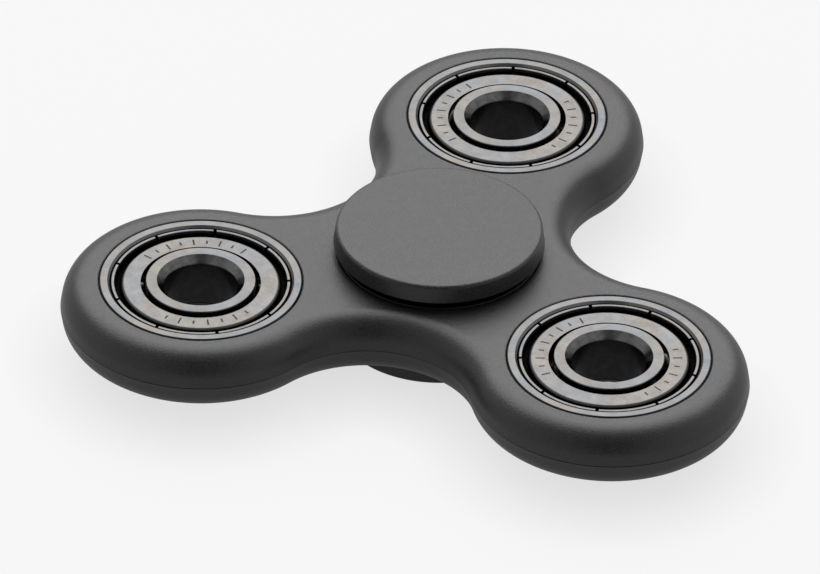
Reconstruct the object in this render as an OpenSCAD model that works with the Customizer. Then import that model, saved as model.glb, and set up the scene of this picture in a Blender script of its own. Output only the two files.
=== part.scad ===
// Three-lobed hand spinner: a one-piece moulded body that carries four
// 22 x 8 x 7 mm deep-groove ball bearings, with two finger caps plugged into
// the centre one. The frame stands on the lower cap: z = 0 is its outer face,
// and +Z is the spin axis. lobe_a is at 90 degrees, lobe_b at 210, lobe_c at 330.

/* [Overall] */
// Distance from the spin axis to the axis of each outer bearing
lobe_distance = 26.5; // [26:0.5:26.5]
// Total height over the two finger caps
total_height = 13; // [12.5:0.5:15]

/* [Body] */
// Largest radius of a lobe, at the parting line half way up
lobe_radius = 15.2; // [14.8:0.2:15.2]
// Radius of the rounded upper and lower edges
edge_radius = 3; // [2.8:0.2:3]
// Draft of the side walls above and below the parting line, in degrees
draft_angle = 9; // [9:1:10]
// Radial play between a bearing and its seat in the body
seat_play = 0.02; // [0.01:0.01:0.04]
// Edge break at the mouths of the bearing seats
seat_edge = 0.28; // [0.2:0.04:0.28]

/* [Bearings] */
// Outside diameter of a bearing
bearing_od = 22; // [22:22]
// Bore diameter of a bearing
bearing_bore = 8; // [8:8]
// Width of a bearing and thickness of the body
bearing_width = 7; // [7:7]
// Ball diameter
ball_d = 3.969; // [3.9:0.001:4]
// Number of balls
ball_count = 7; // [5:1:7]
// Pitch circle diameter of the balls
pitch_d = 15; // [14.9:0.05:15.1]
// Gap between a ball and each raceway
race_play = 0.02; // [0.01:0.01:0.04]
// Outside radius of the inner ring's shoulders
inner_land = 5.95; // [5.85:0.05:6.05]
// Inside radius of the outer ring's shoulders
outer_land = 9; // [8.9:0.05:9.1]
// Radial width of the bevel at each end of the bore
bore_bevel = 0.75; // [0.4:0.05:0.9]
// Depth of the bevel at each end of the bore
bore_bevel_depth = 0.9; // [0.4:0.05:1.1]
// Bevel of the outer ring's outer corners
ring_corner = 0.12; // [0.1:0.02:0.2]
// Thickness of the shield's sheet metal
shield_sheet = 0.25; // [0.2:0.01:0.3]
// Inside radius of a shield
shield_inner = 6.5; // [6.3:0.05:6.6]
// Depth of a shield's flat below the ring faces
shield_depth = 0.35; // [0.25:0.05:0.5]
// Number of crimping slots in a shield's rim
shield_slots = 9; // [6:1:12]
// Width of a crimping slot
slot_width = 0.38; // [0.2:0.02:0.6]
// Thickness of the cage's pressed sheet
cage_sheet = 0.26; // [0.2:0.01:0.28]

/* [Shield positions] */
// First slot of the upper shield in lobe_a, in degrees
lobe_a_slot = 22; // [0:1:39]
// First slot of the upper shield in lobe_b, in degrees
lobe_b_slot = 18; // [0:1:39]
// First slot of the upper shield in lobe_c, in degrees
lobe_c_slot = 38; // [0:1:39]

/* [Finger caps] */
// Largest radius of the finger caps, at the face towards the body
cap_radius = 11.5; // [10.5:0.1:12.5]
// Thickness of a cap's disc
cap_thickness = 2.05; // [1.6:0.05:2.2]
// Rounding of a cap's outer edge
cap_edge = 0.45; // [0.2:0.05:0.6]
// Draft of a cap's rim, which narrows away from the body, in degrees
cap_draft = 8; // [4:1:12]
// Play between a cap's stem and the bore
stem_play = 0.02; // [0.01:0.01:0.04]
// Radius of the peg that joins the two caps
peg_radius = 1.7; // [1.2:0.1:2.2]

/* [Hidden] */
$fn = 128;

mid = total_height / 2;                 // height of the parting plane
half = bearing_width / 2;               // half the body's thickness
ring_r = bearing_od / 2;
bore_r = bearing_bore / 2;
ball_r = ball_d / 2;
pitch_r = pitch_d / 2;
race_r = 0.52 * ball_d;                 // raceway groove, 52 per cent of the ball
lobe_angles = [90, 210, 330];

// The side of the body, as an offset u from the edge of its flat face:
// a quarter round down to the draft line, then straight to the parting line.
edge_c = half - edge_radius;                        // height of the round's centre
edge_u = edge_radius * cos(draft_angle);            // where the draft begins
edge_z = edge_c + edge_radius * sin(draft_angle);
wall_sink = 0.004;                                  // the wall meets the round at a slight angle
edge_run = edge_u + edge_z * tan(draft_angle) - wall_sink;   // reach of the parting line
flat_r = lobe_radius - edge_run;                    // flat face of a lobe

// The waists are arcs centred between the lobes at the lobes' own distance, so
// the six centres make a regular hexagon whose side is the sum of both radii.
waist_r = lobe_distance - lobe_radius;
waist_cross = 0.03;                     // the arcs cross by a hair where they would touch

// ---------- points on an arc, for turned profiles ----------
function arc(cx, cy, r, a0, a1, n = 6) =
    [for (i = [0 : n]) let (a = a0 + (a1 - a0) * i / n) [cx + r * cos(a), cy + r * sin(a)]];

// ---------- body ----------
// A lobe is turned from its side profile: flat faces, quarter-round edges and
// the drafted wall. Its seam is turned towards the spin axis, inside the web.
module lobe_blank() rotate(180) rotate_extrude() {
    translate([0, -half]) square([flat_r, 2 * half]);
    translate([0, -edge_c]) square([flat_r + 0.5, 2 * edge_c]);
    for (s = [-1, 1]) intersection() {
        translate([flat_r, s * edge_c]) circle(r = edge_radius);
        translate([flat_r - 1, s > 0 ? edge_c - 0.2 : -half - 1]) square([edge_radius + 2, edge_radius + 1.2]);
    }
    wall_profile(flat_r, 1);
}

// The same profile turned inside out, which leaves the waist between two lobes.
module waist_cutter() rotate_extrude() difference() {
    r = waist_r + edge_run + waist_cross;
    translate([0, -half - 1]) square([r, 2 * half + 2]);
    for (s = [-1, 1]) translate([r, s * edge_c]) circle(r = edge_radius);
    wall_profile(r, -1);
}

module wall_profile(u0, s) polygon([
    [u0 - s * 0.5, -edge_z], [u0 + s * (edge_u - wall_sink), -edge_z], [u0 + s * edge_run, 0],
    [u0 + s * (edge_u - wall_sink), edge_z], [u0 - s * 0.5, edge_z]]);

module bearing_seat() {
    r = ring_r + seat_play;
    rotate_extrude()
        polygon([[0, -half - 1], [r + seat_edge + 1, -half - 1], [r, -half + seat_edge],
                 [r, half - seat_edge], [r + seat_edge + 1, half + 1], [0, half + 1]]);
}

// The web and the lobes are each bored before they are joined.
module web() difference() {
    linear_extrude(bearing_width, center = true)
        polygon([for (i = [0 : 5]) lobe_distance * [cos(30 + 60 * i), sin(30 + 60 * i)]]);
    for (a = lobe_angles) rotate(a + 60) translate([lobe_distance, 0, 0]) waist_cutter();
    bearing_seat();
    for (a = lobe_angles) rotate(a) translate([lobe_distance, 0, 0]) bearing_seat();
}

module body() color([0.13, 0.13, 0.135]) translate([0, 0, mid]) union() {
    web();
    for (a = lobe_angles) rotate(a) translate([lobe_distance, 0, 0]) difference() {
        lobe_blank();
        bearing_seat();
    }
}

// ---------- bearing pieces, about their own mid plane ----------
module outer_ring() color([0.62, 0.63, 0.64]) rotate_extrude() difference() {
    union() {
        w = shield_wall_z();
        polygon([[outer_land, -w], [10.12, -w], [10.12, -half + 0.5], [9.88, -half + 0.36],
                 [9.88, -half + 0.26], [10.12, -half], [ring_r - ring_corner, -half],
                 [ring_r, -half + ring_corner], [ring_r, half - ring_corner],
                 [ring_r - ring_corner, half], [10.12, half], [9.88, half - 0.26],
                 [9.88, half - 0.36], [10.12, half - 0.5], [10.12, w], [outer_land, w]]);
    }
    translate([pitch_r + ball_r + race_play - race_r, 0]) circle(r = race_r);
}

// height of the outer ring's shoulders, which the shields sit against
function shield_wall_z() = half - 1.1 - shield_sheet - 0.05;

module inner_ring() color([0.66, 0.67, 0.68]) rotate_extrude() difference() {
    b = bore_bevel;
    d = bore_bevel_depth;
    polygon([[bore_r, -half + d], [bore_r + b, -half], [inner_land - 0.1, -half],
             [inner_land, -half + 0.1], [inner_land, half - 0.1], [inner_land - 0.1, half],
             [bore_r + b, half], [bore_r, half - d]]);
    translate([pitch_r - ball_r - race_play + race_r, 0]) circle(r = race_r);
}

module balls() color([0.8, 0.8, 0.82])
    for (i = [0 : ball_count - 1]) rotate(360 / ball_count * i) translate([pitch_r, 0, 0]) sphere(r = ball_r);

// One half of the two-piece ribbon cage, lying on the mid plane with its cups up.
module cage_half() {
    cup = ball_r + 0.045;
    difference() {
        union() {
            ribbon(0, cage_sheet);
            for (i = [0 : ball_count - 1]) intersection() {
                ribbon(0, half);
                pocket(i, cup + cage_sheet, 2.4);
            }
        }
        for (i = [0 : ball_count - 1]) pocket(i, cup, 3);
    }
}

module pocket(i, r, h) rotate(360 / ball_count * i) translate([pitch_r, 0, 0])
    rotate([0, 90, 0]) cylinder(h = h, r = r, center = true);

module ribbon(z0, z1) translate([0, 0, z0]) difference() {
    cylinder(h = z1 - z0, r = 8.15);
    translate([0, 0, -1]) cylinder(h = z1 - z0 + 2, r = 6.75);
}

// The upper half's pins pass through the lower half and are headed below it.
module cage_upper() color([0.55, 0.52, 0.45]) {
    cage_half();
    for (i = [0 : ball_count - 1]) rotate(360 / ball_count * (i + 0.5)) translate([pitch_r, 0, 0]) {
        translate([0, 0, -cage_sheet - 0.02]) cylinder(h = cage_sheet + 0.12, r = 0.28);
        translate([0, 0, -cage_sheet - 0.16]) cylinder(h = 0.15, r = 0.44);
    }
}

module cage_lower() color([0.55, 0.52, 0.45]) difference() {
    mirror([0, 0, 1]) cage_half();
    for (i = [0 : ball_count - 1]) rotate(360 / ball_count * (i + 0.5))
        translate([pitch_r, 0, -1]) cylinder(h = 2, r = 0.3);
}

// Pressed shield for the upper face: a flat, a channel, and a rolled rim that
// snaps under the outer ring's lip and is slotted where it was crimped.
module shield(phase) color([0.7, 0.7, 0.69]) rotate(phase) difference() {
    rotate_extrude() shield_profile();
    for (i = [0 : shield_slots - 1]) rotate(360 / shield_slots * i)
        translate([8.98, -slot_width / 2, half - 1.0]) cube([2, slot_width, 2]);
}

module shield_profile() {
    t = shield_sheet;
    f = half - shield_depth;            // top of the flat
    b = half - 1.1;                     // floor of the channel
    top = concat(
        [[shield_inner, f]],
        arc(8.26, f - 0.34, 0.34, 90, 15, 6),
        arc(8.8, b + 0.15, 0.15, 200, 270, 3),
        arc(9.04, b + 0.15, 0.15, 270, 345, 3),
        arc(9.48, half - 0.42, 0.2, 165, 0, 8),
        [[9.78, half - 0.64], [10.06, half - 0.72]]);
    under = concat(
        [[10.06, half - 0.72 - t * 0.8], [9.72, half - 0.86], [9.5, half - 0.56]],
        arc(9.1, b - 0.02, t - 0.02, 340, 270, 3),
        arc(8.74, b - 0.02, t - 0.02, 270, 205, 3),
        arc(8.2, f - 0.3, 0.06, 20, 90, 3),
        [[shield_inner, f - t]]);
    polygon(concat(top, under));
}

// ---------- finger caps ----------
// A disc with a rounded rim, a shoulder that bears on the inner ring, and a
// hollow or pegged stem that plugs the bore.
module cap_disc() {
    e = cap_edge;
    d = cap_draft;
    in = e * cos(d) + (cap_thickness - 0.15 - e * (1 - sin(d))) * tan(d);
    rotate_extrude() polygon(concat(
        [[0, 0]],
        arc(cap_radius - in, e, e, 270, 360 - d, 8),
        [[cap_radius, cap_thickness - 0.15], [cap_radius - 0.15, cap_thickness], [5.5, cap_thickness],
         [5.5, mid - half], [0, mid - half]]));
}

module upper_finger_cap() color([0.15, 0.15, 0.155]) translate([0, 0, total_height]) mirror([0, 0, 1]) difference() {
    union() {
        cap_disc();
        rotate_extrude() polygon([[0, 1], [bore_r - stem_play, 1], [bore_r - stem_play, mid - 0.55],
                                  [bore_r - stem_play - 0.3, mid - 0.25], [0, mid - 0.25]]);
    }
    translate([0, 0, 1.3]) cylinder(h = mid, r = peg_radius + 0.03);
}

module lower_finger_cap() color([0.15, 0.15, 0.155]) {
    cap_disc();
    rotate_extrude() polygon([[0, 1], [bore_r - stem_play, 1], [bore_r - stem_play, mid - 0.55],
                              [bore_r - stem_play - 0.3, mid - 0.25], [peg_radius, mid - 0.25],
                              [peg_radius, total_height - 1.9], [peg_radius - 0.25, total_height - 1.6],
                              [0, total_height - 1.6]]);
}

// ---------- placing ----------
module at_centre() translate([0, 0, mid]) children();
module at_lobe(i) rotate(lobe_angles[i]) translate([lobe_distance, 0, mid]) rotate(-lobe_angles[i]) children();

module centre_outer_ring() at_centre() outer_ring();
module centre_inner_ring() at_centre() inner_ring();
module centre_balls() at_centre() balls();
module centre_cage_upper() at_centre() cage_upper();
module centre_cage_lower() at_centre() cage_lower();
module centre_shield_upper() at_centre() shield(10);
module centre_shield_lower() at_centre() mirror([0, 0, 1]) shield(4);

module lobe_a_outer_ring() at_lobe(0) outer_ring();
module lobe_a_inner_ring() at_lobe(0) inner_ring();
module lobe_a_balls() at_lobe(0) rotate(11) balls();
module lobe_a_cage_upper() at_lobe(0) rotate(11) cage_upper();
module lobe_a_cage_lower() at_lobe(0) rotate(11) cage_lower();
module lobe_a_shield_upper() at_lobe(0) shield(lobe_a_slot);
module lobe_a_shield_lower() at_lobe(0) mirror([0, 0, 1]) shield(31);

module lobe_b_outer_ring() at_lobe(1) outer_ring();
module lobe_b_inner_ring() at_lobe(1) inner_ring();
module lobe_b_balls() at_lobe(1) rotate(29) balls();
module lobe_b_cage_upper() at_lobe(1) rotate(29) cage_upper();
module lobe_b_cage_lower() at_lobe(1) rotate(29) cage_lower();
module lobe_b_shield_upper() at_lobe(1) shield(lobe_b_slot);
module lobe_b_shield_lower() at_lobe(1) mirror([0, 0, 1]) shield(13);

module lobe_c_outer_ring() at_lobe(2) outer_ring();
module lobe_c_inner_ring() at_lobe(2) inner_ring();
module lobe_c_balls() at_lobe(2) rotate(41) balls();
module lobe_c_cage_upper() at_lobe(2) rotate(41) cage_upper();
module lobe_c_cage_lower() at_lobe(2) rotate(41) cage_lower();
module lobe_c_shield_upper() at_lobe(2) shield(lobe_c_slot);
module lobe_c_shield_lower() at_lobe(2) mirror([0, 0, 1]) shield(25);

body();
upper_finger_cap();
lower_finger_cap();
centre_outer_ring();
centre_inner_ring();
centre_balls();
centre_cage_upper();
centre_cage_lower();
centre_shield_upper();
centre_shield_lower();
lobe_a_outer_ring();
lobe_a_inner_ring();
lobe_a_balls();
lobe_a_cage_upper();
lobe_a_cage_lower();
lobe_a_shield_upper();
lobe_a_shield_lower();
lobe_b_outer_ring();
lobe_b_inner_ring();
lobe_b_balls();
lobe_b_cage_upper();
lobe_b_cage_lower();
lobe_b_shield_upper();
lobe_b_shield_lower();
lobe_c_outer_ring();
lobe_c_inner_ring();
lobe_c_balls();
lobe_c_cage_upper();
lobe_c_cage_lower();
lobe_c_shield_upper();
lobe_c_shield_lower();
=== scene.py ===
import bpy
import math
from mathutils import Matrix, Vector


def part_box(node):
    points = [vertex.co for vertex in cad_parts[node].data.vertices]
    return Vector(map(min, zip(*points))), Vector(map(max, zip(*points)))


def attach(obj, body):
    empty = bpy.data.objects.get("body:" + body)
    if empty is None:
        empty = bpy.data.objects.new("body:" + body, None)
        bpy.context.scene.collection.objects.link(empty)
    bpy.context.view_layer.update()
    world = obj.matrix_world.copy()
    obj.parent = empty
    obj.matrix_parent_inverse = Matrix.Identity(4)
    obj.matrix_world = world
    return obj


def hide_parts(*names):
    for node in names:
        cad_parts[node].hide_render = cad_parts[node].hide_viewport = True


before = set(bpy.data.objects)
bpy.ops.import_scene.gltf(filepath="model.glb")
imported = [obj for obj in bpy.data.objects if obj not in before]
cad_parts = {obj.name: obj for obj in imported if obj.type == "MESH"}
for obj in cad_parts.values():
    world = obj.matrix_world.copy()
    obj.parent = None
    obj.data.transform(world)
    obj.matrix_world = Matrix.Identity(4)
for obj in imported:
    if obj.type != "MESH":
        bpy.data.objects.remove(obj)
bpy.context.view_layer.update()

scene = bpy.context.scene
MM = 0.001
TAU = 2 * math.pi

# ------------------------------------------------------------------ camera
AZ, EL, ROLL = math.radians(16.05), math.radians(36.009), math.radians(0.955)
FOCAL_PX = 10861.56
T = Vector((3.1442, -4.1411, 1179.85))


def rot_z(v, a):
    c, s = math.cos(a), math.sin(a)
    return Vector((v[0] * c - v[1] * s, v[0] * s + v[1] * c, v[2]))


right = Vector((1, 0, 0))
down = Vector((0, -math.sin(EL), -math.cos(EL)))
fwd = Vector((0, math.cos(EL), -math.sin(EL)))
cx = right * math.cos(ROLL) - down * math.sin(ROLL)
cy = right * math.sin(ROLL) + down * math.cos(ROLL)
loc = -(cx * T[0] + cy * T[1] + fwd * T[2])
cx, cy, fwd, loc = (rot_z(v, AZ) for v in (cx, cy, fwd, loc))
loc = (loc + Vector((0, 0, 10))) * MM
cam_data = bpy.data.cameras.new("camera")
cam_data.sensor_width = 36.0
cam_data.lens = FOCAL_PX * 36.0 / 820.0
cam_data.clip_start, cam_data.clip_end = 0.05, 50.0
cam = bpy.data.objects.new("camera", cam_data)
m = Matrix((cx, -cy, -fwd)).transposed().to_4x4()
m.translation = loc
cam.matrix_world = m
scene.collection.objects.link(cam)
scene.camera = cam

# ------------------------------------------------------------------ mesh kit


def rounded(corners, seg=5):
    """A closed outline through corners (r, z, radius), each rounded, as facets (p0, n0, p1, n1).
    The outline runs anticlockwise in the r-z plane, and normals point outwards."""
    n = len(corners)
    runs = []
    for i in range(n):
        p = Vector(corners[i][:2])
        a = Vector(corners[i - 1][:2]) - p
        b = Vector(corners[(i + 1) % n][:2]) - p
        rad = corners[i][2] if len(corners[i]) > 2 else 0
        ua, ub = a.normalized(), b.normalized()
        na, nb = Vector((-ua.y, ua.x)), Vector((ub.y, -ub.x))
        turn = math.acos(max(-1, min(1, na.dot(nb))))
        if rad <= 0 or turn < 1e-4:
            runs.append([(p, na, nb)])
            continue
        cut = rad * math.tan(turn / 2)
        cut = min(cut, a.length * 0.49, b.length * 0.49)
        rad = cut / math.tan(turn / 2)
        pa, pb = p + ua * cut, p + ub * cut
        convex = (-ua).cross(ub) > 0
        centre = pa - na * rad if convex else pa + na * rad
        pts = []
        k = max(2, int(seg * max(0.5, turn / 1.2)))
        for j in range(k + 1):
            t = j / k
            w = na.slerp(nb, t)
            pts.append((centre + w * rad if convex else centre - w * rad, w, w))
        runs.append(pts)
    facets = []
    flat = [q for run in runs for q in run]
    for i in range(len(flat)):
        p0, _, n0 = flat[i]
        p1, n1, _ = flat[(i + 1) % len(flat)]
        facets.append((p0, n0, p1, n1))
    return facets


def make_object(name, verts, faces, normals, material, location=(0, 0, 0)):
    mesh = bpy.data.meshes.new(name)
    mesh.from_pydata(verts, [], faces)
    mesh.validate(clean_customdata=False)
    mesh.polygons.foreach_set("use_smooth", [True] * len(mesh.polygons))
    mesh.normals_split_custom_set(normals)
    mesh.update()
    o = bpy.data.objects.new(name, mesh)
    o.location = location
    scene.collection.objects.link(o)
    o.data.materials.append(material)
    return o


class Builder:
    """Faces with shared points and a stated normal at each corner, in millimetres."""

    def __init__(self):
        self.verts, self.index, self.faces, self.normals = [], {}, [], []

    def point(self, p):
        key = (round(p[0], 5), round(p[1], 5), round(p[2], 5))
        if key not in self.index:
            self.index[key] = len(self.verts)
            self.verts.append((p[0] * MM, p[1] * MM, p[2] * MM))
        return self.index[key]

    def face(self, corners):
        """corners: list of (point, normal)"""
        ids, ns = [], []
        for p, nrm in corners:
            i = self.point(p)
            if i not in ids:
                ids.append(i)
                ns.append(nrm)
        if len(ids) >= 3:
            self.faces.append(ids)
            self.normals.extend([tuple(v) for v in ns])


def at(r, z, a):
    return (r * math.cos(a), r * math.sin(a), z)


def nat(n, a):
    return (n[0] * math.cos(a), n[0] * math.sin(a), n[1])


def revolve(b, facets, angles):
    for a0, a1 in zip(angles[:-1], angles[1:]):
        for p0, n0, p1, n1 in facets:
            if p0.x < 1e-6 and p1.x < 1e-6:
                continue
            b.face([(at(p0.x, p0.y, a0), nat(n0, a0)), (at(p0.x, p0.y, a1), nat(n0, a1)),
                    (at(p1.x, p1.y, a1), nat(n1, a1)), (at(p1.x, p1.y, a0), nat(n1, a0))])


def lathe(name, corners, material, segs=240, seg=5, location=(0, 0, 0), flip=False):
    facets = rounded(corners, seg)
    b = Builder()
    angles = [TAU * i / segs for i in range(segs + 1)]
    revolve(b, facets, angles)
    if flip:
        flip_z(b)
    return make_object(name, b.verts, b.faces, b.normals, material, location)


def flip_z(b):
    """Turns the piece over about the X axis, so a mirrored shape stays a real one."""
    b.verts = [(x, -y, -z) for x, y, z in b.verts]
    b.normals = [(x, -y, -z) for x, y, z in b.normals]


# ------------------------------------------------------------------ materials


class Mat:
    def __init__(self, name):
        self.m = bpy.data.materials.new(name)
        self.m.use_nodes = True
        self.t = self.m.node_tree
        self.bsdf = self.t.nodes["Principled BSDF"]

    def node(self, kind, **inputs):
        n = self.t.nodes.new(kind)
        for k, v in inputs.items():
            key = k.replace("_", " ")
            if key in n.inputs:
                n.inputs[key].default_value = v
            else:
                setattr(n, k, v)
        return n

    def link(self, a, b):
        self.t.links.new(a, b)

    def math(self, op, a, b=None, clamp=False):
        n = self.t.nodes.new("ShaderNodeMath")
        n.operation = op
        n.use_clamp = clamp
        for i, v in enumerate((a, b)):
            if v is None:
                continue
            if isinstance(v, (int, float)):
                n.inputs[i].default_value = v
            else:
                self.link(v, n.inputs[i])
        return n.outputs[0]

    def ramp(self, fac, stops):
        n = self.t.nodes.new("ShaderNodeValToRGB")
        e = n.color_ramp.elements
        while len(e) > 1:
            e.remove(e[-1])
        e[0].position = stops[0][0]
        e[0].color = (*stops[0][1], 1) if len(stops[0][1]) == 3 else stops[0][1]
        for pos, col in stops[1:]:
            x = e.new(pos)
            x.color = (*col, 1) if len(col) == 3 else col
        self.link(fac, n.inputs[0])
        return n.outputs[0]

    def mix(self, fac, a, b):
        n = self.t.nodes.new("ShaderNodeMix")
        n.data_type = "RGBA"
        if isinstance(fac, (int, float)):
            n.inputs[0].default_value = fac
        else:
            self.link(fac, n.inputs[0])
        for i, v in ((6, a), (7, b)):
            if isinstance(v, tuple):
                n.inputs[i].default_value = (*v, 1)
            else:
                self.link(v, n.inputs[i])
        return n.outputs[2]

    def coords(self, scale=1.0):
        tc = self.t.nodes.new("ShaderNodeTexCoord")
        mp = self.t.nodes.new("ShaderNodeMapping")
        mp.inputs["Scale"].default_value = (scale,) * 3 if isinstance(scale, (int, float)) else scale
        self.link(tc.outputs["Object"], mp.inputs[0])
        return mp.outputs[0]

    def noise(self, vec, scale, detail=3, rough=0.55, dist=0.0):
        n = self.t.nodes.new("ShaderNodeTexNoise")
        n.inputs["Scale"].default_value = scale
        n.inputs["Detail"].default_value = detail
        n.inputs["Roughness"].default_value = rough
        n.inputs["Distortion"].default_value = dist
        self.link(vec, n.inputs["Vector"])
        return n.outputs["Fac"]

    def bump(self, height, strength, distance, normal=None):
        n = self.t.nodes.new("ShaderNodeBump")
        n.inputs["Strength"].default_value = strength
        n.inputs["Distance"].default_value = distance
        self.link(height, n.inputs["Height"])
        if normal is not None:
            self.link(normal, n.inputs["Normal"])
        return n.outputs[0]

    def attribute(self, name):
        n = self.t.nodes.new("ShaderNodeAttribute")
        n.attribute_name = name
        return n.outputs["Fac"]

    def set(self, **kw):
        for k, v in kw.items():
            s = self.bsdf.inputs[k.replace("_", " ")]
            if isinstance(v, (int, float)):
                s.default_value = v
            elif isinstance(v, tuple):
                s.default_value = (*v, 1) if len(v) == 3 and s.type == "RGBA" else v
            else:
                self.link(v, s)
        return self.m


def plastic(name, base, grain, grain_mm, rough):
    k = Mat(name)
    v = k.coords()
    fine = k.noise(v, 1 / (grain_mm * MM), 2, 0.6)
    mid = k.noise(v, 1 / (0.9 * MM), 3, 0.5)
    large = k.noise(v, 1 / (9 * MM), 2, 0.5)
    shade = k.math("ADD", k.math("MULTIPLY", fine, 0.75), k.math("MULTIPLY", large, 0.25))
    lo = tuple(c * 0.25 for c in base)
    hi = tuple(c * 2.0 for c in base)
    col = k.ramp(shade, [(0.34, lo), (0.66, hi)])
    # faint rubbed and dusty marks
    dust = k.noise(v, 1 / (0.22 * MM), 1, 0.4)
    dust = k.ramp(dust, [(0.70, (0, 0, 0)), (0.78, (1, 1, 1))])
    col = k.mix(k.math("MULTIPLY", dust, 0.07), col, tuple(min(1, c * 4 + 0.04) for c in base))
    r = k.math("ADD", k.math("MULTIPLY", mid, 0.08), rough - 0.04)
    r = k.math("ADD", r, k.math("MULTIPLY", k.math("SUBTRACT", fine, 0.5), 0.30))
    r = k.math("ADD", r, k.math("MULTIPLY", k.math("SUBTRACT", large, 0.5), 0.05))
    n = k.bump(fine, grain, 0.035 * MM)
    n = k.bump(large, 0.08, 0.05 * MM, n)
    k.set(Base_Color=col, Roughness=r, Normal=n, IOR=1.5)
    return k.m


GAIN = 3.4          # how much brighter the flat faces are painted than the rest of the steel, which leaves painted shade on the corners, rolled edges and sides


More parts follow.
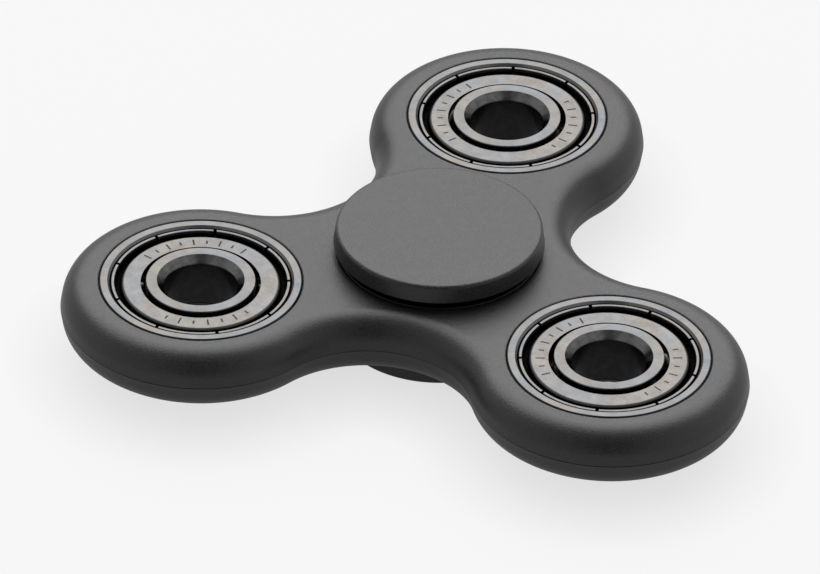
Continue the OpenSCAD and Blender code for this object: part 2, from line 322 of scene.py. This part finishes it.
def steel(name, base, rough, ring=1.0, mottle=0.25, tint=True, marks=False, bore=False, flats=None):
    """Ground or pressed steel: fine rings round the piece's own axis, cross grain and soft mottling."""
    k = Mat(name)
    tc = k.t.nodes.new("ShaderNodeTexCoord")
    sep = k.t.nodes.new("ShaderNodeSeparateXYZ")
    k.link(tc.outputs["Object"], sep.inputs[0])
    x, y, z = sep.outputs
    rad = k.math("SQRT", k.math("ADD", k.math("MULTIPLY", x, x), k.math("MULTIPLY", y, y)))
    comb = k.t.nodes.new("ShaderNodeCombineXYZ")
    k.link(k.math("MULTIPLY", rad, 1.0), comb.inputs[0])
    k.link(k.math("MULTIPLY", z, 1.0), comb.inputs[1])
    turned = k.noise(comb.outputs[0], 1 / (0.09 * MM), 3, 0.7)
    v = k.coords()
    grain = k.noise(v, 1 / (0.10 * MM), 3, 0.6)
    patch = k.noise(v, 1 / (1.3 * MM), 4, 0.6, 0.3)
    broad = k.noise(v, 1 / (5.5 * MM), 2, 0.5)
    lo = tuple(c * (1 - mottle) for c in base)
    hi = tuple(min(1, c * (1 + mottle)) for c in base)
    f = k.math("ADD", k.math("MULTIPLY", grain, 0.45), k.math("MULTIPLY", patch, 0.55))
    col = k.ramp(f, [(0.32, lo), (0.68, hi)])
    if tint:
        warm = (base[0] * 1.16, base[1] * 0.99, base[2] * 0.80)
        cool = (base[0] * 0.84, base[1] * 0.97, base[2] * 1.18)
        speck = k.noise(k.coords(), 1 / (0.55 * MM), 3, 0.6, 0.4)
        t = k.ramp(k.math("ADD", k.math("MULTIPLY", broad, 0.5), k.math("MULTIPLY", speck, 0.5)), [(0.40, warm), (0.60, cool)])
        col = k.mix(0.42, col, t)
    if flats:
        # painted light and shade: the ground flat faces are painted brighter by GAIN, and the corners, rolled edges and
        # sides keep the darker colour as painted shade
        level = flats
        az = k.math("ABSOLUTE", z)
        if marks:
            outside = k.math("GREATER_THAN", rad, 9.0 * MM)
            level = k.math("ADD", flats * MM, k.math("MULTIPLY", outside, 0.135 * MM))
            face = k.math("DIVIDE", k.math("SUBTRACT", az, level), 0.03 * MM, clamp=True)
        else:
            face = k.math("DIVIDE", k.math("SUBTRACT", az, flats * MM), 0.03 * MM, clamp=True)
        scale = k.t.nodes.new("ShaderNodeVectorMath")
        scale.operation = "SCALE"
        k.link(col, scale.inputs[0])
        k.link(k.math("ADD", k.math("MULTIPLY", face, GAIN - 1), 1.0), scale.inputs["Scale"])
        col = scale.outputs[0]
    r = k.math("ADD", k.math("MULTIPLY", patch, 0.16), rough - 0.08)
    h = k.math("ADD", k.math("MULTIPLY", turned, 0.6 * ring), k.math("MULTIPLY", grain, 0.4))
    n = k.bump(h, 0.35, 0.006 * MM)
    if bore:
        # the bevels and the bore are ground smooth and darker than the faces; inside r 4.10 mm the bore is painted near
        # black as painted shade
        inner = k.math("DIVIDE", k.math("SUBTRACT", 4.78 * MM, rad), 0.06 * MM, clamp=True)
        bore_shade = k.math("DIVIDE", k.math("SUBTRACT", 4.10 * MM, rad), 0.06 * MM, clamp=True)
        col = k.mix(inner, col, (0.140, 0.140, 0.138))
        col = k.mix(bore_shade, col, (0.042, 0.042, 0.042))
        # oil film: the bore and bevels are darker in uneven patches
        film = k.noise(k.coords(), 1 / (1.1 * MM), 3, 0.55, 0.4)
        film = k.math("DIVIDE", k.math("SUBTRACT", film, 0.40), 0.22, clamp=True)
        col = k.mix(k.math("MULTIPLY", k.math("MULTIPLY", film, inner), 0.45), col, (0.02, 0.02, 0.021))
        # painted shade: the lower bevel and bore, below z -2.4 mm, are painted near black and made rougher
        lower_bore_shade = k.math("DIVIDE", k.math("SUBTRACT", -2.4 * MM, z), 0.15 * MM, clamp=True)
        lower_bore_shade = k.math("MULTIPLY", lower_bore_shade, inner)
        col = k.mix(lower_bore_shade, col, (0.012, 0.012, 0.012))
        r = k.math("ADD", r, k.math("MULTIPLY", lower_bore_shade, 0.35))
        r = k.math("SUBTRACT", r, k.math("MULTIPLY", k.math("SUBTRACT", inner, bore_shade, clamp=True), 0.08))
        # painted shade: the outer chamfer beyond r 10.83 mm is painted near black, a dark band at the seat
        edge = k.math("DIVIDE", k.math("SUBTRACT", rad, 10.83 * MM), 0.05 * MM, clamp=True)
        col = k.mix(k.math("MULTIPLY", edge, 0.85), col, (0.01, 0.01, 0.01))
    if marks:
        # plain scale marks cut in the flat: short and long radial ticks in two arcs on opposite sides
        mk = None
        for half_arc, count, flip in ((45, 9, 1), (36, 7, -1)):
            a = k.math("ARCTAN2", k.math("MULTIPLY", y, flip), k.math("MULTIPLY", x, flip))
            step = math.radians(2 * half_arc / (count - 1))
            u = k.math("DIVIDE", a, step)
            near = k.math("ROUND", u)
            off = k.math("ABSOLUTE", k.math("SUBTRACT", u, near))
            wide = k.math("MULTIPLY", k.math("MULTIPLY", off, step), rad)          # metres from the tick's line
            line = k.math("SUBTRACT", 1.6, k.math("DIVIDE", wide, 0.085 * MM), clamp=True)
            inside = k.math("LESS_THAN", k.math("ABSOLUTE", near), (count - 1) / 2 + 0.5)
            odd = k.math("ABSOLUTE", k.math("MODULO", near, 2.0))                  # 0 or 1
            reach = k.math("SUBTRACT", 0.50 * MM, k.math("MULTIPLY", odd, 0.20 * MM))
            away = k.math("ABSOLUTE", k.math("SUBTRACT", rad, 7.38 * MM))
            band = k.math("LESS_THAN", away, reach)
            one = k.math("MULTIPLY", k.math("MULTIPLY", line, inside), band)
            mk = one if mk is None else k.math("MAXIMUM", mk, one)
        flat = k.math("GREATER_THAN", k.math("ABSOLUTE", z), 3.0 * MM)
        mk = k.math("MULTIPLY", mk, flat)
        col = k.mix(k.math("MULTIPLY", mk, 0.92), col, (0.016, 0.016, 0.017))
        n = k.bump(k.math("SUBTRACT", 1.0, mk), 0.5, 0.02 * MM, n)
        # painted shade: the bottom of the groove between the flat and the curled rim is painted near black and made
        # rougher
        rmm = k.math("DIVIDE", rad, MM)
        groove = k.math("MULTIPLY", k.math("GREATER_THAN", rmm, 8.3), k.math("LESS_THAN", rmm, 9.5))
        groove_shade = k.math("DIVIDE", k.math("SUBTRACT", 3.13 * MM, k.math("ABSOLUTE", z)), 0.25 * MM, clamp=True)
        groove_shade = k.math("MULTIPLY", groove, groove_shade)
        col = k.mix(groove_shade, col, (0.0015, 0.0015, 0.0015))
        r = k.math("ADD", r, k.math("MULTIPLY", groove_shade, 0.3))
    k.set(Base_Color=col, Metallic=1.0, Roughness=r, Normal=n)
    return k.m


BODY = plastic("body_plastic", (0.0070, 0.0073, 0.0078), 0.7, 0.17, 0.41)
CAP = plastic("cap_plastic", (0.0074, 0.0077, 0.0080), 0.9, 0.20, 0.42)
RING = steel("ring_steel", (0.122, 0.121, 0.118), 0.27, ring=1.0, mottle=0.38, bore=True, flats=3.46)
# a darker copy of the ring steel, painted shade for the centre bearing's outer ring under the cap
SHADED = steel("ring_steel_shaded", (0.030, 0.029, 0.028), 0.35, ring=0.6, mottle=0.3, bore=True)
SHIELD = steel("shield_steel", (0.130, 0.126, 0.120), 0.32, ring=0.35, mottle=0.42, marks=True, flats=3.115)
BALL = steel("ball_steel", (0.22, 0.22, 0.225), 0.22, ring=0.0, mottle=0.08, tint=False)
CAGE = steel("cage_steel", (0.30, 0.28, 0.24), 0.4, ring=0.0, mottle=0.3)

# ------------------------------------------------------------------ positions from the frame
lo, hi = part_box("body")
B0, B1 = lo.z / MM, hi.z / MM                      # body's lower and upper faces
MID = (B0 + B1) / 2
HALF = (B1 - B0) / 2
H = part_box("upper_finger_cap")[1].z / MM
centres = {}
for key in ("centre", "lobe_a", "lobe_b", "lobe_c"):
    lo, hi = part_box(key + "_outer_ring")
    c = (lo + hi) / 2
    centres[key] = (c.x / MM, c.y / MM, MID)
    RING_R = (hi.x - lo.x) / 2 / MM
DIST = math.hypot(*centres["lobe_a"][:2])
lo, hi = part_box("body")
SEAT_EDGE = 0.28
LOBE_R = hi.y / MM - DIST
WAIST_R = DIST - LOBE_R
PHASE = {"lobe_a": 22, "lobe_b": 18, "lobe_c": 38, "centre": 10}
PHASE_LOW = {"lobe_a": 31, "lobe_b": 13, "lobe_c": 25, "centre": 4}
MARKS = {"lobe_a": 186.5, "lobe_b": 113.5, "lobe_c": 174.5, "centre": 60}
MARKS_LOW = {"lobe_a": 40, "lobe_b": 250, "lobe_c": 310, "centre": 200}

# ------------------------------------------------------------------ body


def side_rows():
    """Rows of the body's side from its upper flat to its lower one: (offset from the parting line's reach, z, normal,
    extra offset that fades out in the waists), in mm."""
    er, draft = 3.0, math.radians(9)
    c = HALF - er
    reach = er * math.cos(draft) + (c + er * math.sin(draft)) * math.tan(draft) - 0.004
    rows = []
    n = 22
    for i in range(n + 1):
        a = math.pi / 2 + (draft - math.pi / 2) * i / n
        rows.append((er * math.cos(a) - reach, c + er * math.sin(a), (math.cos(a), math.sin(a)), 0.0))
    wall = (math.cos(draft), math.sin(draft))
    # parting line: a fine groove with the lower half standing a little back
    rows.append((-0.055 * math.tan(draft), 0.055, wall, 0.0))
    top = rows
    low = [(u - 0.003, -z, (nx, -nz), -0.022) for u, z, (nx, nz), _ in reversed(rows)]
    groove = [(-0.012, 0.0, (1, 0), -0.065)]
    return top, groove, low, reach


def outline():
    """Points round the body: (centre, direction, sign, radius at the parting line, depth of the parting line)."""
    pts = []
    nl, nw = 168, 84
    for k in range(3):
        c = Vector((DIST * math.cos(math.radians(90 + 120 * k)), DIST * math.sin(math.radians(90 + 120 * k))))
        for i in range(nl + 1):
            a = math.radians(90 + 120 * k - 120 + 240 * i / nl)
            q = min(1, max(0, (1 - abs(2 * i / nl - 1)) / 0.5))
            pts.append((c, a, 1, LOBE_R, 0.15 + 0.85 * q * q * (3 - 2 * q)))
        w = Vector((DIST * math.cos(math.radians(150 + 120 * k)), DIST * math.sin(math.radians(150 + 120 * k))))
        for i in range(1, nw):
            a = math.radians(90 + 120 * k + 120 + 180 - 120 * i / nw)
            pts.append((w, a, -1, WAIST_R, 0.15))
    return pts


def make_body():
    top, groove, low, reach = side_rows()
    b = Builder()
    ring = outline()
    n = len(ring)

    def pos(o, row):
        c, a, s, r, g = o
        rad = r + s * (row[0] + g * row[3])
        return (c.x + rad * math.cos(a), c.y + rad * math.sin(a), MID + row[1])

    def nrm(o, row):
        _, a, s, _, _ = o
        nx, nz = row[2]
        return (s * nx * math.cos(a), s * nx * math.sin(a), nz)

    rows = top + groove + low
    for i in range(n):
        o0, o1 = ring[i], ring[(i + 1) % n]
        for r0, r1 in zip(rows[:-1], rows[1:]):
            if r0 in groove or r1 in groove:      # walls of the fine groove
                up = r1 in groove
                tilt = (0.55, -0.83) if up else (0.55, 0.83)
                q0, q1 = (r0[0], r0[1], tilt, r0[3]), (r1[0], r1[1], tilt, r1[3])
            else:
                q0, q1 = r0, r1
            b.face([(pos(o1, q0), nrm(o1, q0)), (pos(o0, q0), nrm(o0, q0)),
                    (pos(o0, q1), nrm(o0, q1)), (pos(o1, q1), nrm(o1, q1))])
    # flat faces with four round openings, filled between their outlines
    seat, edge = RING_R + 0.02, SEAT_EDGE
    import bmesh
    for up in (1, -1):
        z = MID + up * HALF
        bm = bmesh.new()
        loops = []
        row = top[0] if up > 0 else low[-1]
        loops.append([pos(o, row)[:2] for o in ring])
        for cx_, cy_, _ in centres.values():
            loops.append([(cx_ + (seat + edge) * math.cos(TAU * i / 240), cy_ + (seat + edge) * math.sin(TAU * i / 240))
                          for i in range(240)])
        edges = []
        for lp in loops:
            vs = [bm.verts.new((x, y, 0)) for x, y in lp]
            edges += [bm.edges.new((vs[i], vs[(i + 1) % len(vs)])) for i in range(len(vs))]
        bmesh.ops.triangle_fill(bm, use_beauty=True, use_dissolve=False, edges=edges, normal=(0, 0, 1))
        for f in bm.faces:
            if f.normal.z < 0:
                f.normal_flip()
            vs = [(v.co.x, v.co.y, z) for v in f.verts]
            if up < 0:
                vs.reverse()
            b.face([(p, (0, 0, up)) for p in vs])
        bm.free()
    # seats
    seat_rows = []
    k = 5
    for i in range(k + 1):
        a = math.pi / 2 * i / k
        seat_rows.append((seat + edge * (1 - math.sin(a)), HALF - edge * (1 - math.cos(a)), (-math.sin(a), math.cos(a))))
    seat_rows += [(r, -z, (nx, -nz)) for r, z, (nx, nz) in reversed(seat_rows)]
    for cx_, cy_, _ in centres.values():
        for i in range(240):
            a0, a1 = TAU * i / 240, TAU * (i + 1) / 240
            for (r0, z0, n0), (r1, z1, n1) in zip(seat_rows[:-1], seat_rows[1:]):
                def p(r, z, a):
                    return (cx_ + r * math.cos(a), cy_ + r * math.sin(a), MID + z)
                b.face([(p(r0, z0, a0), nat(n0, a0)), (p(r0, z0, a1), nat(n0, a1)),
                        (p(r1, z1, a1), nat(n1, a1)), (p(r1, z1, a0), nat(n1, a0))])
    o = make_object("body_moulding", b.verts, b.faces, b.normals, BODY)
    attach(o, "rotor")
    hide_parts("body")
    return o


make_body()

# ------------------------------------------------------------------ bearings, about their own mid planes
WALL_Z = HALF - 1.1 - 0.25 - 0.05


def race(rc, rr, side, k=14):
    """Points of a raceway groove in the r-z plane, from below to above or the other way."""
    land = 9.0 if side > 0 else 5.95
    a = math.acos(abs(land - rc) / rr)
    pts = []
    for i in range(k + 1):
        t = -a + 2 * a * i / k
        pts.append((rc + side * rr * math.cos(t), side * rr * math.sin(t) * side, 0))
    return pts


def outer_ring(key):
    rr = 0.52 * 3.969
    rc = 7.5 + 3.969 / 2 + 0.02 - rr
    w = WALL_Z
    groove = [(r, z, 0.0) for r, z, _ in race(rc, rr, 1)]
    groove.sort(key=lambda q: -q[1])
    q = 0.12
    c = [(9.0, -w, 0.05), (10.12, -w, 0.03), (10.12, -HALF + 0.5, 0.03), (9.88, -HALF + 0.36, 0.02),
         (9.88, -HALF + 0.26, 0.03), (10.12, -HALF, 0.05), (RING_R - q, -HALF, 0.05), (RING_R, -HALF + q, 0.05),
         (RING_R, HALF - q, 0.05), (RING_R - q, HALF, 0.05), (10.12, HALF, 0.05),
         (9.88, HALF - 0.26, 0.03), (9.88, HALF - 0.36, 0.02), (10.12, HALF - 0.5, 0.03), (10.12, w, 0.03), (9.0, w, 0.05)] + groove
    o = lathe(key + "_outer_race", c, SHADED if key == "centre" else RING, 288, 6, [v * MM for v in centres[key]])
    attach(o, "rotor")
    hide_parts(key + "_outer_ring")


def inner_ring(key, body):
    rr = 0.52 * 3.969
    rc = 7.5 - 3.969 / 2 - 0.02 + rr
    groove = [(rc - math.sqrt(max(0, rr * rr - z * z)), z, 0.0) for z in
              [math.sqrt(rr * rr - (rc - 5.95) ** 2) * (-1 + 2 * i / 14) for i in range(15)]]
    c = [(4.0, -HALF + 0.9, 0.12), (4.75, -HALF, 0.07), (5.95, -HALF, 0.14)] + groove + \
        [(5.95, HALF, 0.14), (4.75, HALF, 0.07), (4.0, HALF - 0.9, 0.12)]
    o = lathe(key + "_inner_race", c, RING, 192, 6, [v * MM for v in centres[key]])
    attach(o, body)
    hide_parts(key + "_inner_ring")


def shield(key, upper):
    t = 0.25
    f, bt = HALF - 0.35, HALF - 1.1
    R0 = 8.98
    # top line of the sheet from the inner edge outwards, then back along its underside
    inner = [(6.5, f - t, 0.03), (8.24, f - t, 0.1), (8.56, bt - t + 0.02, 0.12)]
    outer_low = [(9.2, bt - t + 0.02, 0.12), (9.5, HALF - 0.62, 0.1), (9.7, HALF - 0.84, 0.08), (10.06, HALF - 0.92, 0.03)]
    outer_top = [(10.06, HALF - 0.72, 0.03), (9.8, HALF - 0.62, 0.1), (9.67, HALF - 0.2, 0.1), (9.37, HALF - 0.2, 0.1), (9.22, bt, 0.12)]
    inner_top = [(8.72, bt, 0.12), (8.58, f, 0.42), (6.5, f, 0.05)]
    full = rounded(inner + [(R0, bt - t + 0.02, 0)] + outer_low + outer_top + [(R0, bt, 0)] + inner_top, 6)
    part_in = [q for q in full if q[0].x <= R0 + 1e-6 and q[2].x <= R0 + 1e-6]
    part_out = [q for q in full if not (q[0].x <= R0 + 1e-6 and q[2].x <= R0 + 1e-6)]
    b = Builder()
    slots, width = 9, 0.38
    turn = math.radians(MARKS[key] if upper else MARKS_LOW[key])
    # the lower shield is turned over about X below, which turns its angles the other way
    phase = math.radians(PHASE[key]) - turn if upper else turn - math.radians(-PHASE_LOW[key])
    gap = width / 2 / 9.4
    pitch = TAU / slots
    for s in range(slots):
        a = phase + s * pitch
        n1, n2 = 4, 30
        in_gap = [a - gap + 2 * gap * i / n1 for i in range(n1 + 1)]
        rest = [a + gap + (pitch - 2 * gap) * i / n2 for i in range(n2 + 1)]
        revolve(b, part_in, in_gap)
        revolve(b, part_in, rest)
        revolve(b, part_out, rest)
        wall = [(Vector((R0, bt)), Vector((1, 0)), Vector((R0, bt - t + 0.02)), Vector((1, 0)))]
        for a0, a1 in zip(in_gap[:-1], in_gap[1:]):
            for p0, n0, p1, nn in wall:
                b.face([(at(p0.x, p0.y, a1), nat(n0, a1)), (at(p0.x, p0.y, a0), nat(n0, a0)),
                        (at(p1.x, p1.y, a0), nat(nn, a0)), (at(p1.x, p1.y, a1), nat(nn, a1))])
        # cut ends of the rim on both sides of the slot
        ring_pts = [q[0] for q in part_out] + [part_out[-1][2]]
        for ang, sign in ((a - gap, 1), (a + gap, -1)):
            nv = (-math.sin(ang) * sign, math.cos(ang) * sign, 0)
            pts = [(at(p.x, p.y, ang), nv) for p in ring_pts]
            if sign > 0:
                pts.reverse()
            b.face(pts)
    if not upper:
        flip_z(b)
    name = f"{key}_shield_{'top' if upper else 'bottom'}"
    o = make_object(name, b.verts, b.faces, b.normals, SHIELD, [v * MM for v in centres[key]])
    o.rotation_euler.z = turn
    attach(o, "rotor")
    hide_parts(f"{key}_shield_{'upper' if upper else 'lower'}")


for key in centres:
    outer_ring(key)
    inner_ring(key, "grip" if key == "centre" else key + "_inner")
    shield(key, True)
    shield(key, False)

# ------------------------------------------------------------------ finger caps


def cap(upper):
    R, Tk = 11.5, 2.05
    s = 5.5
    rt = R - Tk * math.tan(math.radians(8))          # the rim's draft, 8 degrees
    E = 0.45
    if upper:
        c = [(0, 0), (rt, 0, E), (R, Tk, 0.12), (s, Tk, 0.1), (s, B0, 0.08), (3.98, B0, 0.05),
             (3.98, MID - 0.25, 0.3), (1.73, MID - 0.25, 0.1), (1.73, 1.3, 0.1), (0, 1.3)]
    else:
        c = [(0, 0), (rt, 0, E), (R, Tk, 0.12), (s, Tk, 0.1), (s, B0, 0.08), (3.98, B0, 0.05),
             (3.98, MID - 0.25, 0.3), (1.7, MID - 0.25, 0.1), (1.7, H - 1.6, 0.25), (0, H - 1.6)]
    facets = rounded([(r, z, *q) for r, z, *q in c], 8)
    # in this lower form the outline runs anticlockwise with the disc's outer face down
    b = Builder()
    segs = 256
    revolve(b, facets, [TAU * i / segs for i in range(segs + 1)])
    if upper:
        b.verts = [(x, -y, H * MM - z) for x, y, z in b.verts]
        b.normals = [(x, -y, -z) for x, y, z in b.normals]
    name = "finger_cap_top" if upper else "finger_cap_bottom"
    o = make_object(name, b.verts, b.faces, b.normals, CAP)
    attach(o, "grip")
    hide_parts("upper_finger_cap" if upper else "lower_finger_cap")


cap(True)
cap(False)

# ------------------------------------------------------------------ inner pieces keep their CAD shape
for name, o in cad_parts.items():
    if o.hide_render:
        continue
    o.data.materials.clear()
    o.data.materials.append(BALL if "balls" in name else CAGE)

# ------------------------------------------------------------------ stage and light
floor_mat = Mat("floor")
fv = floor_mat.coords()
fcol = floor_mat.ramp(floor_mat.noise(fv, 6, 2), [(0.3, (0.033, 0.033, 0.033)), (0.7, (0.036, 0.036, 0.036))])
# painted shadow: the floor glows, dimmed by ambient occlusion near the object as a soft contact shadow
ao = floor_mat.t.nodes.new("ShaderNodeAmbientOcclusion")
ao.inputs["Distance"].default_value = 0.0085
ao.samples = 8
glow = floor_mat.math("ADD", floor_mat.math("MULTIPLY", ao.outputs["AO"], 0.21), 0.79)
# painted reflection: glossy rays see the floor's glow dimmer than the camera does, dimmest underneath the object where
# the ambient occlusion is deepest
lpath = floor_mat.t.nodes.new("ShaderNodeLightPath")
painted_reflection_glow = floor_mat.math("ADD", floor_mat.math("MULTIPLY", ao.outputs["AO"], 0.50), 0.20)
glow = floor_mat.math("ADD", floor_mat.math("MULTIPLY", glow, floor_mat.math("SUBTRACT", 1.0, lpath.outputs["Is Glossy Ray"])),
                      floor_mat.math("MULTIPLY", painted_reflection_glow, lpath.outputs["Is Glossy Ray"]))
glow_col = floor_mat.t.nodes.new("ShaderNodeCombineColor")
for i in range(3):
    floor_mat.link(glow, glow_col.inputs[i])
floor_mat.set(Base_Color=fcol, Roughness=0.9, IOR=1.3, Emission_Color=glow_col.outputs[0], Emission_Strength=0.868)
fm = bpy.data.meshes.new("floor")
S = 6.0
fm.from_pydata([(-S, -S, 0), (S, -S, 0), (S, S, 0), (-S, S, 0)], [], [(0, 1, 2, 3)])
floor = bpy.data.objects.new("floor", fm)
floor.location.z = -0.00002
scene.collection.objects.link(floor)
fm.materials.append(floor_mat.m)

world = bpy.data.worlds.new("studio")
scene.world = world
world.use_nodes = True
wt = world.node_tree
bg = wt.nodes["Background"]


def wnode(op, a, b=None, clamp=False):
    n = wt.nodes.new("ShaderNodeMath")
    n.operation = op
    n.use_clamp = clamp
    for i, v in enumerate((a, b)):
        if v is None:
            continue
        if isinstance(v, (int, float)):
            n.inputs[i].default_value = v
        else:
            wt.links.new(v, n.inputs[i])
    return n.outputs[0]


def smooth(v, a, b, fa, fb):
    n = wt.nodes.new("ShaderNodeMapRange")
    n.interpolation_type = "SMOOTHSTEP"
    wt.links.new(v, n.inputs["Value"])
    for key, val in (("From Min", a), ("From Max", b), ("To Min", fa), ("To Max", fb)):
        n.inputs[key].default_value = val
    return n.outputs[0]


# the room: pale at the sides and behind, dimmer in front, with a narrow dark upright in front
tc = wt.nodes.new("ShaderNodeTexCoord")
mp = wt.nodes.new("ShaderNodeMapping")
mp.inputs["Rotation"].default_value = (0, 0, -AZ)
wt.links.new(tc.outputs["Generated"], mp.inputs[0])
sp = wt.nodes.new("ShaderNodeSeparateXYZ")
wt.links.new(mp.outputs[0], sp.inputs[0])
wx, wy, wz = sp.outputs
room = smooth(wy, -1.0, -0.05, 0.50, 0.90)
behind = smooth(wy, 0.50, 0.82, 1.0, 0.64)
ax = wnode("ABSOLUTE", wx)
upright = smooth(ax, 0.09, 0.36, 0.0, 1.0)
ahead = smooth(wy, -0.35, -0.05, 0.0, 1.0)
upright = wnode("MAXIMUM", upright, ahead)
level = wnode("MULTIPLY", wnode("MULTIPLY", room, behind), upright)
level = wnode("MULTIPLY", level, smooth(wz, 0.3, 1.0, 1.0, 0.62))
level = wnode("MULTIPLY", level, smooth(wx, -1.0, 0.2, 0.84, 1.0))
comb = wt.nodes.new("ShaderNodeCombineColor")
wt.links.new(level, comb.inputs[0])
wt.links.new(level, comb.inputs[1])
wt.links.new(wnode("MULTIPLY", level, 1.01), comb.inputs[2])
wt.links.new(comb.outputs[0], bg.inputs[0])
bg.inputs[1].default_value = 1.0


def softbox(name, azimuth, elevation, dist, size, energy, aim=(0, 0, 0.006)):
    """A square soft light. Azimuth 0 is towards +Y, behind the object as the camera at azimuth 0 sees it."""
    a, e = math.radians(azimuth), math.radians(elevation)
    d = Vector((math.sin(a) * math.cos(e), math.cos(a) * math.cos(e), math.sin(e)))
    L = bpy.data.lights.new(name, "AREA")
    L.shape = "RECTANGLE"
    L.size, L.size_y = size
    L.energy = energy
    o = bpy.data.objects.new(name, L)
    o.location = Vector(aim) + d * dist
    o.rotation_mode = "QUATERNION"
    o.rotation_quaternion = d.to_track_quat("Z", "Y")
    scene.collection.objects.link(o)
    return o


# one large soft light behind and above the object as the camera sees it, which is azimuth -16 from +Y
dark_box = softbox("back_box", -16.05, 49, 1.1, (1.62, 1.15), 18.4)
# the bright steel gets a share of the same light, so that it doesn't burn out
steel_box = softbox("back_box_for_steel", -16.05, 49, 1.1, (1.62, 1.15), 2.97)
# a weak one opposite it, on the steel only, which keeps the bearings legible from the other side
front_box = softbox("front_box_for_steel", 163.95, 49, 1.1, (1.62, 1.15), 1.2)
on_steel = bpy.data.collections.new("lit_by_steel_box")
on_rest = bpy.data.collections.new("lit_by_dark_box")
for o in [q for q in bpy.data.objects if q.type == "MESH"]:
    first = o.data.materials[0].name if o.data.materials and o.data.materials[0] else ""
    (on_steel if first.startswith(("ring_steel", "shield_steel", "ball_steel", "cage_steel")) else on_rest).objects.link(o)
dark_box.light_linking.receiver_collection = on_rest
steel_box.light_linking.receiver_collection = on_steel
front_box.light_linking.receiver_collection = on_steel

scene.view_settings.view_transform = "Standard"
scene.view_settings.look = "None"
scene.view_settings.exposure = 0
scene.view_settings.gamma = 1
